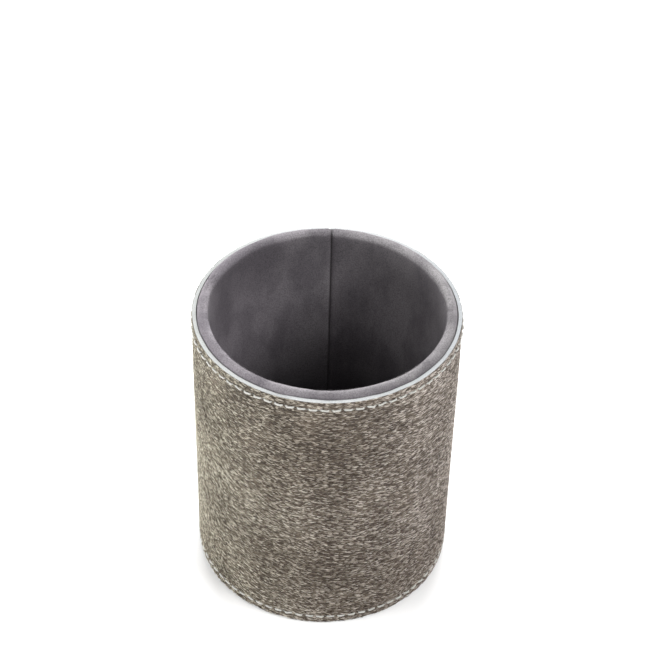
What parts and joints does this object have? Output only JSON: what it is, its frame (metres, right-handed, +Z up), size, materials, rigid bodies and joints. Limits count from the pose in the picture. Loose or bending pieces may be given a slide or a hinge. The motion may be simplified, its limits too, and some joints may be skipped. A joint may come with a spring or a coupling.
{
  "type": "leather dice cup",
  "caption": "Round open-topped cup for shaking and throwing dice: suede-lined board tube wrapped in a stitched hair-on hide sleeve.",
  "frame": {"origin": "centre of the underside, on the surface that the cup stands on", "axes": "+Z up along the cup's axis; +Y towards the butt seams of the hide sleeve and of the lining"},
  "size_m": [0.0854, 0.0854, 0.1012],
  "materials": {
    "hair_on_hide": "short salt-and-pepper hair on hide, with a raw white cut edge",
    "sewing_thread": "twisted off-white thread, matte",
    "suede_lining": "brushed suede, matte",
    "grey_board": "uncoated grey board, matte",
    "filler_card": "uncoated card, matte",
    "base_leather": "fine-grained leather, satin"
  },
  "bodies": {
    "root": {"hide_sleeve": "hair_on_hide", "top_needle_thread": "sewing_thread", "bottom_needle_thread": "sewing_thread", "top_lock_thread": "sewing_thread", "bottom_lock_thread": "sewing_thread", "wall_lining": "suede_lining", "floor_lining": "suede_lining", "floor_board": "grey_board", "core_tube": "grey_board", "base_board": "grey_board", "filler_wrap": "filler_card", "base_cover": "base_leather"}
  },
  "joints": []
}
